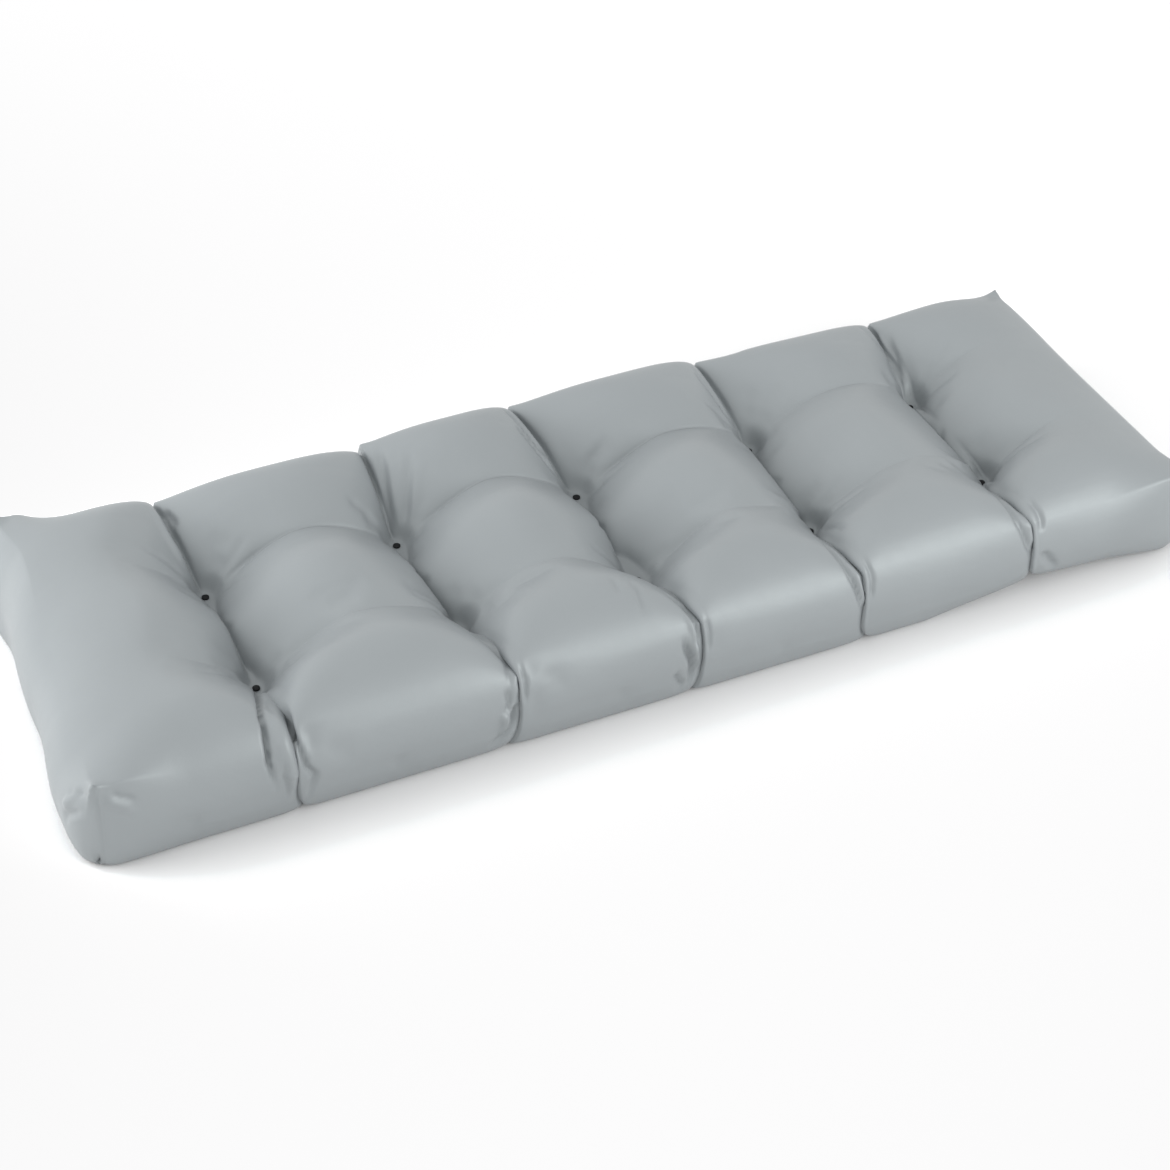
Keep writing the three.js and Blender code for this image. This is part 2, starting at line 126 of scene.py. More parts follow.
# How a seam climbs from the last tuft to the edge, and its crest just before the notch.
SEAM_CLIMB = 0.75
SEAM_CREST = {"rise": 8.0, "from": 0.6}
SEAM_DRAWN_IN = 5.0
NOTCH_SHARPNESS = {"left": 9.0, "right": 2.4}
EDGE_ARC = math.radians(50)
# How much squarer the cells are along the front and rear edges, on their left and right sides,
# and how fast that fades away from the edge.
BOXY_EDGE = {"front": (10.0, 3.0), "rear": (2.0, 4.0)}
BOXY_FADE = {"front": 3, "rear": 4}

# The walls: how far they swell past the edge lines at their widest height, and how they tuck
# under to the foot, which follows the edges in part and has a channel along each seam.
BULGE_HEIGHT = 68.0
WALL_BULGE = {"front": 15.0, "rear": 14.0, "end": 33.0, "seam": 11.0, "corner": 6.0}
CORNER_SHARPNESS = 3
TUCK_UNDER = 1.3
FOOT_CHANNEL = {"depth": 8.0, "at_tuft": 6.0, "start": 0.55}
FOOT_PULL = 0.6
FOOT_SPREAD = {"front": -5.0, "rear": -6.0, "end": 12.0}
# The last cross seam draws the front foot in and up, over these shares of the cells beside it.
LAST_SEAM_FOOT = {"depth": 36.0, "lift": 14.0, "left": 0.6, "right": 1.0}


def mix(low, high, share):
    return low + (high - low) * share


def smooth(amount):
    t = np.clip(amount, 0.0, 1.0)
    return t * t * (3 - 2 * t)


def within(coordinate, count):
    """The cell each lattice coordinate falls in, and how far across it, from -1 to 1."""
    cell = np.minimum(np.floor(coordinate).astype(int), count - 1)
    return cell, 2 * (coordinate - cell) - 1


def faces_outside(cell, across, count):
    """Whether a place lies on the half of an end cell that faces out of the lattice."""
    return ((cell == 0) & (across < 0)) | ((cell == count - 1) & (across >= 0))


def rounding(across, outside):
    """Place across a cell and fall from its crown: puffy down to a seam, an arc to an edge."""
    arc = np.where(outside, EDGE_ARC, QUARTER)
    place = np.sin(across * arc) / np.sin(arc)
    arc_fall = (1 - np.cos(across * arc)) / (1 - np.cos(arc))
    return place, np.where(outside, arc_fall, mix(arc_fall, place**2, DOME_SLOPE))


def soften(fall, place, amount):
    """Rounds the bottom of a valley by as much of a plain wave as the amount says."""
    return mix(fall, np.sin(np.abs(place) * QUARTER) ** 2, amount)


def midway(across):
    """1 in the middle of a cell and 0 at its two seams."""
    return np.cos(across * QUARTER)


def notch_share(across):
    """How much of a notch is left at a place across a cell; it is narrower on the left side."""
    sharpness = np.where(across < 0, NOTCH_SHARPNESS["left"], NOTCH_SHARPNESS["right"])
    return (1 - midway(across)) ** sharpness


def seam_x(line, row, front):
    """X of each numbered seam line, ends included, at an even row coordinate."""
    names = (front, "frontTuft", "rearTuft", "rearEdge")
    x = np.where(line == 0, END_LINES["left"], END_LINES["right"])
    for number, seam in enumerate(CROSS_SEAMS, start=1):
        front_bow, middle_bow = SEAM_BOWS[number - 1]
        bow = np.where(row < 1, front_bow, np.where(row < ROWS - 1, middle_bow, 0))
        course = np.interp(row, range(ROWS + 1), [seam[name] for name in names])
        x = np.where(line == number, course - bow * np.abs(np.sin(math.pi * row)), x)
    return x


def even_row(row):
    """A row coordinate that runs evenly in plan, from 0 at the front edge to 3 at the rear edge."""
    deep, along = within(row, ROWS)
    place = rounding(along, faces_outside(deep, along, ROWS))[0]
    crown = CROWN_PLACE[deep]
    return deep + np.where(place < 0, crown * (1 + place), mix(crown, 1, place))


def even_column(column):
    """A cell coordinate that runs evenly in plan across each cell."""
    wide, across = within(column, CELLS)
    return wide + (rounding(across, faces_outside(wide, across, CELLS))[0] + 1) / 2


def cross_seam_height(row):
    """Height of the valley along a cross seam: a saddle between tufts, a climb to each edge."""
    row = even_row(row)
    between = np.clip(1 - np.abs(2 * (row - ROWS / 2)), 0, 1)
    height = mix(TUFT_HEIGHT, MIDDLE_SEAM_HEIGHT, np.sin(between * QUARTER) ** TUFT_DIP)
    for side, out in (("front", 1 - row), ("rear", row - ROWS + 1)):
        crest = NOTCH_HEIGHT[side] + SEAM_CREST["rise"]
        climb = mix(TUFT_HEIGHT, crest, np.clip(out, 0, 1) ** SEAM_CLIMB)
        roll_over = np.clip((out - SEAM_CREST["from"]) / (1 - SEAM_CREST["from"]), 0, None) ** 2
        height = np.where(out >= 0, climb - SEAM_CREST["rise"] * roll_over, height)
    return height


def tuft_reach(column):
    """Distance along X from the nearest column of tufts, at a cell coordinate."""
    wide = within(column, CELLS)[0]
    row = np.full(column.shape, ROWS / 2)
    left = seam_x(wide, row, "frontEdge")
    right = seam_x(wide + 1, row, "frontEdge")
    x = mix(left, right, even_column(column) - wide)
    tufts = [(seam["frontTuft"] + seam["rearTuft"]) / 2 for seam in CROSS_SEAMS]
    return np.min([np.abs(x - tuft) for tuft in tufts], axis=0)


def is_end_cell(cell):
    return (cell == 0) | (cell == CELLS - 1)


def row_seam_height(column, line):
    """Height of the valley along a tuft row; in the end cells it soon fades into the end roll."""
    cell, across = within(column, CELLS)
    outer = faces_outside(cell, across, CELLS)
    saddle = np.where(line == 1, ROW_SADDLE["front"], ROW_SADDLE["rear"])
    dip = np.where(across < 0, SADDLE_DIP["left"], SADDLE_DIP["right"])
    inner = mix(TUFT_HEIGHT, saddle, midway(across) ** dip)
    upper = np.clip(line, 1, ROWS - 1)
    crown = (CROWNS[cell, upper - 1] + CROWNS[cell, upper]) / 2
    fall = rounding(across, outer)[1]
    rim = np.where(outer, mix(crown, end_height(line, cell > 0), fall), crown)
    away = np.clip(tuft_reach(column) / END_VALLEY_REACH, 0, 1)
    end = mix(TUFT_HEIGHT, rim, np.sin(np.sqrt(away) * QUARTER) ** TUFT_DIP)
    return np.where(is_end_cell(cell), end, inner)


def row_softness(column, line):
    """How soft the valley along a tuft row is: sharp at the tufts, softer toward a cell's left."""
    cell, across = within(column, CELLS)
    to_right = smooth(0.5 + 0.5 * across)
    front, rear = (mix(*ROW_SOFTNESS[side], to_right) for side in ("front", "rear"))
    inner = np.where(line == 1, front, rear) * midway(across)
    end = smooth(END_SOFTNESS_RATE * tuft_reach(column) / END_VALLEY_REACH)
    return np.where(is_end_cell(cell), end, inner)


def long_edge(column, side, middles, seam, corner_item):
    """A value along a long edge: one for each cell, one at the seams and one at each corner."""
    cell, across = within(column, CELLS)
    left = CORNERS[(side, "left")][corner_item]
    right = CORNERS[(side, "right")][corner_item]
    corner = np.where(across > 0, right, left)
    middle = np.array(middles, float)[cell]
    to_corner = mix(middle, corner, smooth(np.abs(across) * CORNER_REACH))
    to_seam = mix(middle, seam, notch_share(across))
    return np.where(faces_outside(cell, across, CELLS), to_corner, to_seam)


def long_edge_height(column, side):
    return long_edge(column, side, EDGE_HEIGHT[side], NOTCH_HEIGHT[side], "height")


def long_edge_offset(column, side):
    return long_edge(column, side, EDGE_SWELL[side], -SEAM_DRAWN_IN, "sideways")


def along_end(row, end, middles, corner_item):
    """A value along an end, eased from corner to corner through one value for each row."""
    row = even_row(row)
    places = np.array([0, *(np.arange(ROWS) + 0.5), ROWS])
    first = CORNERS[("front", end)][corner_item]
    last = CORNERS[("rear", end)][corner_item]
    values = np.array([first, *middles, last], float)
    stretch = np.clip(np.searchsorted(places, row) - 1, 0, len(places) - 2)
    share = (row - places[stretch]) / (places[stretch + 1] - places[stretch])
    return mix(values[stretch], values[stretch + 1], smooth(share))


def end_height(row, is_right):
    left = along_end(row, "left", END_HEIGHT["left"], "height")
    right = along_end(row, "right", END_HEIGHT["right"], "height")
    return np.where(is_right, right, left)


def last_seam_pull(column):
    """How much of the last cross seam's pull on the front foot is left at a cell coordinate."""
    away = column - (CELLS - 1)
    reach = np.where(away < 0, LAST_SEAM_FOOT["left"], LAST_SEAM_FOOT["right"])
    return np.clip(1 - np.abs(away) / reach, 0, None)


def outline_offsets(column, row, is_foot):
    """How far the edges lie outside their lines beside each point; the foot follows in part."""
    offsets = {
        "front": long_edge_offset(column, "front"),
        "rear": long_edge_offset(column, "rear"),
        "left": along_end(row, "left", END_SWELL["left"], "endwise"),
        "right": along_end(row, "right", END_SWELL["right"], "endwise"),
    }
    if is_foot:
        for edge, offset in offsets.items():
            spread = FOOT_SPREAD.get(edge, FOOT_SPREAD["end"])
            offsets[edge] = offset * FOOT_PULL + spread
        offsets["front"] = offsets["front"] - LAST_SEAM_FOOT["depth"] * last_seam_pull(column)
    return offsets


def plan(column, row, is_foot=False):
    """X and Y of each lattice point; the edges' offsets fade out over the outer cells."""
    wide = within(column, CELLS)[0]
    across = even_column(column)
    deep = even_row(row)
    front = "frontFoot" if is_foot else "frontEdge"
    x = mix(seam_x(wide, deep, front), seam_x(wide + 1, deep, front), across - wide)
    y = np.interp(deep, range(ROWS + 1), ROW_LINES)
    offsets = outline_offsets(column, row, is_foot)
    y = y - offsets["front"] * np.clip(1 - deep, 0, None) ** 2
    y = y + offsets["rear"] * np.clip(deep - ROWS + 1, 0, None) ** 2
    x = x - offsets["left"] * np.clip(1 - across, 0, None) ** 2
    x = x + offsets["right"] * np.clip(across - CELLS + 1, 0, None) ** 2
    return x, y


def tuft_distance(x, y):
    """Distance in plan from the nearest tuft."""
    nearest = np.full(x.shape, np.inf)
    for seam in CROSS_SEAMS:
        nearest = np.minimum(nearest, np.hypot(x - seam["frontTuft"], y - ROW_LINES[1]))
        nearest = np.minimum(nearest, np.hypot(x - seam["rearTuft"], y - ROW_LINES[2]))
    return nearest


def wide_fall_at(wide, across, row):
    """Fall from a crown to the cell's left or right side, squarer along the long edges."""
    outside = faces_outside(wide, across, CELLS)
    place, fall = rounding(across, outside)
    is_left = place < 0
    near = {"front": np.clip(1 - row, 0, None), "rear": np.clip(row - ROWS + 1, 0, None)}
    boxy = 0
    for side, share in near.items():
        boxy = boxy + np.where(is_left, *BOXY_EDGE[side]) * share ** BOXY_FADE[side]
    middle = smooth(1 - 2 * np.maximum(near["front"], near["rear"]))
    softness = np.where(is_left, mix(CROSS_SOFTNESS, LEFT_SOFTNESS, middle), CROSS_SOFTNESS)
    return np.where(outside, fall, soften(fall, place, softness) ** (1 + boxy))


def deep_fall_at(deep, along, column, line):
    """Fall from a crown to the cell's front or rear side."""
    outside = faces_outside(deep, along, ROWS)
    place, fall = rounding(along, outside)
    return np.where(outside, fall, soften(fall, place, row_softness(column, line)))


def pull_to_tufts(x, y, z, both, pull):
    """Draws the cells down beside the tufts, to the flat seats under the buttons."""
    pulled = z - pull * 4 * both * (1 - both)
    seat = (tuft_distance(x, y) - TUFT_SEAT_RADIUS) / (TUFT_BLEND_RADIUS - TUFT_SEAT_RADIUS)
    return mix(TUFT_HEIGHT, np.maximum(pulled, TUFT_HEIGHT), smooth(seat))


def top_surface(column, row):
    """Each cell falls from its crown to the valleys and edges on its sides, and to the tufts."""
    wide, across = within(column, CELLS)
    deep, along = within(row, ROWS)
    wide_outside = faces_outside(wide, across, CELLS)
    deep_outside = faces_outside(deep, along, ROWS)
    wide_line = np.where(across < 0, wide, wide + 1)
    deep_line = np.where(along < 0, deep, deep + 1)
    wide_fall = wide_fall_at(wide, across, row)
    deep_fall = deep_fall_at(deep, along, column, deep_line)

    crown = CROWNS[wide, deep]
    is_right = across > 0
    wide_edge = np.where(wide_outside, end_height(row, is_right), cross_seam_height(row))
    front_height = long_edge_height(column, "front")
    edge_height = np.where(along > 0, long_edge_height(column, "rear"), front_height)
    deep_edge = np.where(deep_outside, edge_height, row_seam_height(column, deep_line))
    seam_end = cross_seam_height(deep_line)
    corner = np.where(wide_outside, end_height(deep_line, is_right), seam_end)
    both = wide_fall * deep_fall
    x, y = plan(column, row)
    z = crown - wide_fall * (crown - wide_edge) - deep_fall * (crown - deep_edge)
    z = z + both * (crown - corner)

    beside = (wide_line > 0) & (wide_line < CELLS) & (deep_line > 0) & (deep_line < ROWS)
    seam = np.clip(wide_line, 1, CELLS - 1) - 1
    pull = TUFT_PULLS[seam, (deep_line > 1).astype(int)]
    z = np.where(beside, pull_to_tufts(x, y, z, both, pull), z)
    return np.stack([x, y, z], axis=-1)


def channel_share(across, outside):
    """How much of a channel's depth the underside has at a place across a cell."""
    start = FOOT_CHANNEL["start"]
    rise = np.clip((np.abs(across) - start) / (1 - start), 0, None) ** 2
    return np.where(outside, 0, rise)


def foot_surface(column, row):
    """The underside: flat under each cell, lifted along the seams."""
    wide, across = within(column, CELLS)
    deep, along = within(row, ROWS)
    wide_share = channel_share(across, faces_outside(wide, across, CELLS))
    deep_share = channel_share(along, faces_outside(deep, along, ROWS))
    x, y = plan(column, row, is_foot=True)
    z = FOOT_CHANNEL["depth"] * np.maximum(wide_share, deep_share)
    z = z + FOOT_CHANNEL["at_tuft"] * wide_share * deep_share
    near_front = np.clip(1 - even_row(row), 0, None) ** 2
    z = z + LAST_SEAM_FOOT["lift"] * last_seam_pull(column) * near_front
    return np.stack([x, y, z], axis=-1)


def wall_bulge(column, row):
    """How far the wall swells out beside each point of the rim."""
    on_long = (row == 0) | (row == ROWS)
    wide, across = within(column, CELLS)
    deep, along = within(row, ROWS)
    beside_corner = np.where(
        on_long, faces_outside(wide, across, CELLS), faces_outside(deep, along, ROWS)
    )
    place = np.where(on_long, across, along)
    full = np.where(row == 0, WALL_BULGE["front"], WALL_BULGE["rear"])
    full = np.where(on_long, full, WALL_BULGE["end"])
    to_corner = mix(full, WALL_BULGE["corner"], np.abs(place) ** CORNER_SHARPNESS)
    to_seam = mix(full, WALL_BULGE["seam"], notch_share(place))
    return np.where(beside_corner, to_corner, np.where(on_long, to_seam, full))


def wall_surface(column, row, rise):
    """The wall swells out from the edge line, then tucks under to the foot."""
    top = top_surface(column, row)
    foot = foot_surface(column, row)
    outward_x = (column == CELLS).astype(float) - (column == 0)
    outward_y = (row == ROWS).astype(float) - (row == 0)
    outward = np.stack([outward_x, outward_y], axis=-1)
    widest = top[:, :2] + outward * wall_bulge(column, row)[:, None]
    top_arc = QUARTER - EDGE_ARC

    angle = np.clip(2 * rise - 1, 0, 1) * top_arc
    inward = (1 - np.cos(angle)) / (1 - math.cos(top_arc))
    high_xy = mix(widest, top[:, :2], inward[:, None])
    high_z = mix(BULGE_HEIGHT, top[:, 2], np.sin(angle) / math.sin(top_arc))

    angle = np.clip(1 - 2 * rise, 0, 1) * QUARTER
    low_xy = mix(widest, foot[:, :2], ((1 - np.cos(angle)) ** TUCK_UNDER)[:, None])
    low_z = mix(BULGE_HEIGHT, foot[:, 2], np.sin(angle))

    upper = (rise >= 0.5)[:, None]
    high = np.column_stack([high_xy, high_z])
    low = np.column_stack([low_xy, low_z])
    return np.where(upper, high, low)


# The cover laid out flat: X of its ends and seams, and how far the walls fold out around it.
FLAT_COLUMNS = (-750.0, -505.0, -235.0, 20.0, 280.0, 545.0, 738.0)
FLAT_WALL = 130.0

# Steps of the fine skin across a cell, across a row and up the walls, how many of them a face
# underneath takes up, and how evenly they are spaced.
COVER_STEPS = (72, 44, 32)
FOOT_STEPS = (9, 11)
EVENNESS = 0.7


def spaced(coordinate, count):
    """Spreads lattice lines more evenly over a cell, still closer together beside its seams."""
    cell, across = within(coordinate, count)
    even = np.arcsin(np.clip(across, -1, 1)) / QUARTER
    eased = mix(across, even, EVENNESS)
    return cell + (np.where(faces_outside(cell, across, count), across, eased) + 1) / 2


def lattice(cell_steps, row_steps, wall_steps, foot_steps):
    """The closed skin of a lattice of cells: grid places (a, b, c) and faces, coarse underneath."""
    wide = CELLS * cell_steps
    deep = ROWS * row_steps
    skin = np.zeros((wide + 1, deep + 1, wall_steps + 1), bool)
    skin[:: foot_steps[0], :: foot_steps[1], 0] = True
    skin[:, :, -1] = True
    skin[0], skin[-1] = True, True
    skin[:, 0], skin[:, -1] = True, True
    grid = np.argwhere(skin)
    number = np.full(skin.shape, -1)
    number[tuple(grid.T)] = np.arange(len(grid))

    sheets = [
        (number[:, :, -1], False),
        (number[:, 0, :], False),
        (number[:, -1, :], True),
        (number[0, :, :], True),
        (number[-1, :, :], False),
    ]
    faces = []
    for ids, is_flipped in sheets:
        corners = [ids[:-1, :-1], ids[1:, :-1], ids[1:, 1:], ids[:-1, 1:]]
        if is_flipped:
            corners.reverse()
        faces += np.stack([corner.ravel() for corner in corners], axis=1).tolist()
    return grid, faces + foot_faces(number[:, :, 0], foot_steps)


def foot_faces(ids, steps):
    """Wide faces underneath, which take up every point of the walls along the foot's border."""
    wide, deep = ids.shape[0] - 1, ids.shape[1] - 1
    faces = []
    for a in range(0, wide, steps[0]):
        for b in range(0, deep, steps[1]):
            right, back = a + steps[0], b + steps[1]
            ring = [ids[at, b] for at in range(a, right, 1 if b == 0 else steps[0])]
            ring += [ids[right, at] for at in range(b, back, 1 if right == wide else steps[1])]
            ring += [ids[at, back] for at in range(right, a, -1 if back == deep else -steps[0])]
            ring += [ids[a, at] for at in range(back, b, -1 if a == 0 else -steps[1])]
            faces.append([int(number) for number in reversed(ring)])
    return faces


def cushion_points(grid, steps):
    """Where each place of the skin lies, and where it lies on the cover laid out flat."""
    column = spaced(grid[:, 0] / steps[0], CELLS)
    row = spaced(grid[:, 1] / steps[1], ROWS)
    rise = grid[:, 2] / steps[2]
    is_top = rise == 1
    is_foot = rise == 0
    is_wall = ~(is_top | is_foot)
    points = np.zeros((len(grid), 3))
    points[is_top] = top_surface(column[is_top], row[is_top])
    points[is_foot] = foot_surface(column[is_foot], row[is_foot])
    points[is_wall] = wall_surface(column[is_wall], row[is_wall], rise[is_wall])

    flat_x = np.interp(even_column(column), range(CELLS + 1), FLAT_COLUMNS)
    flat_y = np.interp(even_row(row), range(ROWS + 1), ROW_LINES)
    down = (1 - rise) * FLAT_WALL
    flat_x = flat_x + down * ((column == CELLS).astype(float) - (column == 0))
    flat_y = flat_y + down * ((row == ROWS).astype(float) - (row == 0))
    flat = np.stack([flat_x, flat_y], axis=-1)
    flat[is_foot] = np.inf
    return points, flat


# Creases and folds on the cover laid out flat, in mm: how deep each one goes in (a ridge stands
# out by a minus depth), its half width, and its course through points (x, y).
FRONT_FOLDS = (
    # first seam: a crease well to its left, a hooked one on it and a loose tongue between them
    (13, 4.5, ((-504, -84), (-520, -150), (-535, -215), (-541, -270), (-534, -330))),
    (-10, 15, ((-502, -112), (-506, -150), (-508, -190), (-506, -230))),
    (7, 5, ((-500, -175), (-502, -243), (-493, -295), (-484, -312), (-500, -350))),
    (-9, 16, ((-514, -190), (-519, -235), (-516, -285), (-512, -340))),
    (4, 5, ((-522, -262), (-524, -300), (-519, -335))),
    # second seam: the seam line, a crease beside it and a pocket low down
    (-8, 9, ((-236, -120), (-238, -180), (-234, -232), (-234, -262))),
    (-2.5, 6, ((-234, -236), (-234, -280), (-236, -355))),
    (6, 5, ((-270, -166), (-256, -174), (-247, -195), (-243, -232), (-246, -262))),
    (-4, 6, ((-247, -205), (-241, -245), (-241, -290))),
    (4, 4, ((-228, -232), (-225, -262), (-229, -300))),
    (9, 7, ((-272, -346), (-256, -334), (-244, -318), (-240, -292))),
    (-6, 7, ((-260, -300), (-254, -322), (-262, -340))),
    (6, 5, ((-252, -262), (-250, -288), (-256, -312))),
    # third seam: one curved crease with small wrinkles that start at the tuft
    (-8, 9, ((20, -120), (18, -180), (21, -232), (21, -262))),
    (-2.5, 6, ((21, -236), (21, -280), (20, -355))),
    (5, 5, ((-18, -180), (-2, -196), (8, -226), (12, -262), (10, -300))),
    (2.5, 6, ((-63, -165), (-66, -182), (-70, -202))),
    (3, 6, ((-40, -172), (-44, -198), (-52, -232))),
    (-4, 6, ((0, -228), (6, -262), (5, -310))),
    (8, 6, ((-10, -262), (-6, -292), (4, -322), (2, -346))),
    (-5, 6, ((2, -276), (6, -300), (10, -330))),
    (6, 6, ((-24, -318), (-14, -330), (-2, -344))),
    (3, 5, ((28, -240), (31, -272), (27, -305))),
    # fourth seam: a double line low down
    (-8, 9, ((280, -120), (278, -180), (281, -232), (281, -262))),
    (-2.5, 6, ((281, -236), (281, -280), (281, -355))),
    (6, 5, ((262, -165), (254, -205), (257, -245), (268, -288), (278, -320))),
    (-4, 6, ((266, -225), (270, -265), (277, -310))),
    (3, 6, ((289, -112), (296, -142), (300, -182))),
    (4, 5, ((290, -225), (293, -262), (288, -300))),
    # fifth seam: two pockets
    (-8, 9, ((545, -120), (543, -180), (546, -232), (546, -262))),
    (-2.5, 6, ((546, -236), (546, -280), (546, -355))),
    (6, 6, ((536, -150), (525, -196), (522, -240), (531, -280), (544, -315))),
    (6, 8, ((556, -300), (570, -322), (580, -335))),
    (-4, 6, ((534, -220), (538, -255), (541, -290))),
    (4, 6, ((556, -214), (560, -240), (556, -268))),
)
REAR_FOLDS = (
    # first seam: a light lip to its left and a pocket at its top
    (3, 5, ((-505, 120), (-506, 160), (-505, 215), (-504, 290))),
    (-3.5, 8, ((-512, 120), (-519, 165), (-520, 222))),
    (5, 6, ((-500, 214), (-498, 196), (-496, 180))),
    # second seam: two soft folds that fan up from the tuft
    (3, 5, ((-235, 120), (-236, 160), (-236, 215), (-235, 290))),
    (3.2, 9, ((-231, 117), (-226, 154), (-218, 189), (-210, 222))),
    (-2, 9, ((-224, 125), (-211, 165), (-199, 205))),
    (3.2, 10, ((-223, 107), (-208, 131), (-192, 158), (-176, 186))),
    (-1.6, 10, ((-212, 108), (-190, 134), (-168, 162))),
    # third seam: a pocket and a second line, with a sliver of cloth between
    (3, 5, ((20, 120), (20, 160), (20, 215), (20, 290))),
    (7, 8, ((-8, 222), (-5, 190), (3, 164), (10, 142))),
    (6, 7, ((-14, 182), (-4, 148), (10, 118))),
    (-3, 5, ((-12, 205), (-7, 176), (2, 148))),
    # fourth seam: one curved line
    (3, 5, ((280, 120), (280, 160), (280, 215), (280, 290))),
    (5, 7, ((258, 212), (264, 175), (268, 142), (276, 115))),
    # fifth seam: a soft double fold
    (3, 5, ((545, 120), (546, 160), (546, 215), (546, 290))),
    (4, 8, ((516, 225), (532, 196), (541, 168), (538, 136), (542, 112))),
    (4, 9, ((560, 205), (553, 172), (549, 142), (546, 112))),
    (-3, 7, ((549, 215), (547, 185), (545, 150))),
)
TUFT_FOLDS = (
    # faint wrinkles that fan out over the cells beside the tufts
    (1.4, 8, ((-494, 105), (-462, 112), (-425, 124))),
    (1.2, 8, ((-494, 97), (-458, 96), (-415, 100))),
    (0.9, 8, ((-496, 112), (-476, 132), (-450, 160))),
    (0.9, 8, ((-494, 88), (-466, 76), (-440, 66))),
    (1.5, 9, ((-515, 108), (-545, 125), (-580, 138))),
    (1.4, 9, ((-247, 108), (-270, 128), (-296, 142))),
    (1.8, 8, ((30, 108), (58, 122), (92, 132))),
    (1.5, 8, ((30, 92), (62, 84), (98, 80))),
    (1.4, 8, ((270, 108), (250, 128), (228, 146))),
    (1.8, 8, ((556, 106), (586, 116), (622, 128))),
    (1.5, 8, ((556, 92), (584, 82), (612, 76))),
    (1.8, 9, ((-515, -98), (-548, -112), (-590, -122))),
    (1.5, 8, ((-494, -98), (-468, -112), (-436, -122))),
    (1.6, 8, ((-245, -82), (-268, -70), (-292, -62))),
    (1.8, 8, ((10, -82), (-14, -68), (-40, -60))),
    (1.6, 8, ((10, -97), (-14, -108), (-42, -116))),
    (1.5, 8, ((290, -82), (316, -72), (345, -64))),
    (1.8, 8, ((290, -98), (322, -106), (360, -112))),
    (1.6, 8, ((535, -82), (510, -70), (484, -62))),
    (1.7, 9, ((556, -96), (590, -106), (630, -112))),
    # small kinks in the valleys between tufts
    (2.5, 7, ((6, -12), (16, 2), (26, 12))),
    (2.5, 7, ((-250, 10), (-238, 2), (-226, -10))),
    (2.2, 7, ((268, 18), (280, 6), (290, -8))),
    (2.2, 7, ((-518, 26), (-506, 14), (-496, 4))),
    (2.2, 7, ((533, -14), (545, 0), (556, 12))),
)
CORNER_FOLDS = (
    # short creases that run from the boxed corners
    (4, 6, ((-764, -238), (-774, -222), (-786, -208))),
    (4, 7, ((-788, -240), (-804, -222), (-824, -204))),
    (-4, 9, ((-766, -226), (-786, -216), (-806, -206))),
    (3.5, 6, ((-735, -256), (-722, -266), (-700, -276))),
    (-3, 8, ((-742, -268), (-724, -280), (-704, -292))),
    (3, 7, ((752, -258), (742, -272), (730, -288))),
    (3, 7, ((752, 232), (766, 218), (780, 206))),
    (3, 7, ((-768, 226), (-780, 212), (-794, 200))),
)
# The seam up each boxed corner: a groove, and two lips that stand out beside it, lower at every
# other step up the wall; and the small peak at its top.
CORNER_SEAM = {"depth": 4.0, "half_width": 4.5}
CORNER_LIP = {"height": 2.4, "place": 1.3, "even": 0.7, "pucker": 0.3}
CORNER_PEAK = {"rise": 6.0, "reach": 20.0, "sharpness": 1.5}
# How the foot of each boxed corner is rounded off.
FOOT_ROUNDING = {"depth": 14.0, "reach": 30.0, "height": 60.0}
# The share of its length over which a fold deepens from nothing at either end.
FOLD_FADE = 0.3


def fold_depths(flat):
    """How far every point of the cover laid out flat lies in, over all the folds together."""
    total = np.zeros(len(flat))
    for fold in (*FRONT_FOLDS, *REAR_FOLDS, *TUFT_FOLDS, *CORNER_FOLDS):
        depth, half_width, course = fold
        stops = np.array(course, float)
        lengths = np.linalg.norm(np.diff(stops, axis=0), axis=1)
        start = np.concatenate([[0], np.cumsum(lengths)])
        reach = np.flatnonzero(
            np.all((flat > stops.min(0) - half_width) & (flat < stops.max(0) + half_width), axis=1)
        )
        nearest = np.full(len(reach), np.inf)
        place = np.zeros(len(reach))
        for first, last, length, begun in zip(stops, stops[1:], lengths, start):
            run = (last - first) / length
            along = np.clip((flat[reach] - first) @ run, 0, length)
            away = np.linalg.norm(flat[reach] - first - along[:, None] * run, axis=1)
            closer = away < nearest
            nearest = np.where(closer, away, nearest)
            place = np.where(closer, (begun + along) / start[-1], place)
        fade = smooth(place / FOLD_FADE) * smooth((1 - place) / FOLD_FADE)
        profile = np.clip(1 - (nearest / half_width) ** 2, 0, None) ** 2
        total[reach] += depth * profile * fade
    return total


def corner_seam(away, level):
    """How far the wall lies in, some way from the line up a corner and a number of steps up."""
    place = away / CORNER_SEAM["half_width"]
    groove = CORNER_SEAM["depth"] * np.clip(1 - place, 0, 1)
    beside = np.clip(1 - np.abs(place - CORNER_LIP["place"]), 0, 1)
    pucker = CORNER_LIP["even"] + CORNER_LIP["pucker"] * np.cos(math.pi * level)
    return groove - CORNER_LIP["height"] * beside * pucker


def foot_rounding(away, height):
    """How far the foot of a corner is rounded off, some way from the corner and at a height."""
    near = np.clip(1 - away / FOOT_ROUNDING["reach"], 0, None) ** 2
    low = np.clip(1 - height / FOOT_ROUNDING["height"], 0, None) ** 2
    return FOOT_ROUNDING["depth"] * near * low


